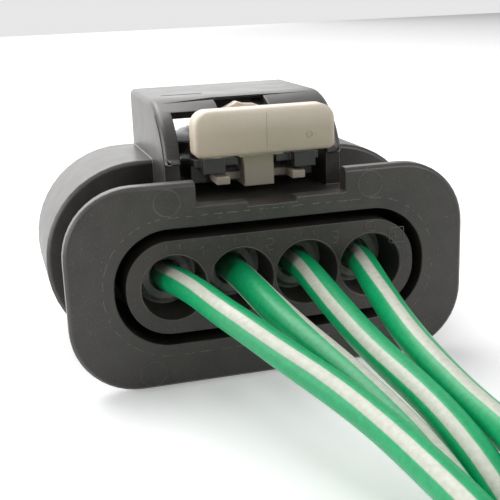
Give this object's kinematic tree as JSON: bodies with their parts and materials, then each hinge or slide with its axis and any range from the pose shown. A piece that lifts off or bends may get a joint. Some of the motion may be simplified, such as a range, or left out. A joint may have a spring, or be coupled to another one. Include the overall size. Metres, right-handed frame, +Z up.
{
  "type": "sealed automotive connector",
  "caption": "Sealed in-line automotive connector, socket half, with latch lever, position assurance slide and coloured wire tails.",
  "frame": {"origin": "on the surface that the connector rests on, under the middle of its housing (tails left out)", "axes": "+X across the row of contacts, +Y out of the mating side, +Z up towards the latch"},
  "size_m": [0.0473, 0.0792, 0.0201],
  "materials": {
    "housing_black": "fine spark-eroded, glass-filled",
    "carrier_black": "satin",
    "retainer_grey": "satin",
    "interface_silicone": "smooth silicone",
    "latch_black": "polished",
    "slide_natural": "satin",
    "seal_silicone": "smooth silicone",
    "contact_tin": "tin plated",
    "cage_steel": "stamped",
    "wire_green": "smooth thin-wall insulation with a pale stripe",
    "tie_black": "satin"
  },
  "bodies": {
    "housing": {"outer_housing": "housing_black", "contact_carrier": "carrier_black", "front_retainer": "retainer_grey", "interface_seal": "interface_silicone", "wire_seal_1": "seal_silicone", "wire_seal_2": "seal_silicone", "wire_seal_3": "seal_silicone", "wire_seal_4": "seal_silicone", "contact_1": "contact_tin", "contact_2": "contact_tin", "contact_3": "contact_tin", "contact_4": "contact_tin", "spring_cage_1": "cage_steel", "spring_cage_2": "cage_steel", "spring_cage_3": "cage_steel", "spring_cage_4": "cage_steel", "wire_1": "wire_green", "wire_2": "wire_green", "wire_3": "wire_green", "wire_4": "wire_green", "wire_coil": "wire_green", "coil_tie": "tie_black"},
    "lever": {"latch_lever": "latch_black"},
    "slide": {"cpa_slide": "slide_natural"}
  },
  "joints": [
    {"name": "latch_press", "type": "hinge", "parent": "housing", "child": "lever", "pos_m": [0, 0.0019, 0.01575], "axis": [1, 0, 0], "range_deg": [0, 4.5], "stiffness_Nm_per_rad": 0.05},
    {"name": "cpa_lock", "type": "slide", "parent": "lever", "child": "slide", "axis": [0, 1, 0], "range_m": [0, 0.0028]}
  ]
}
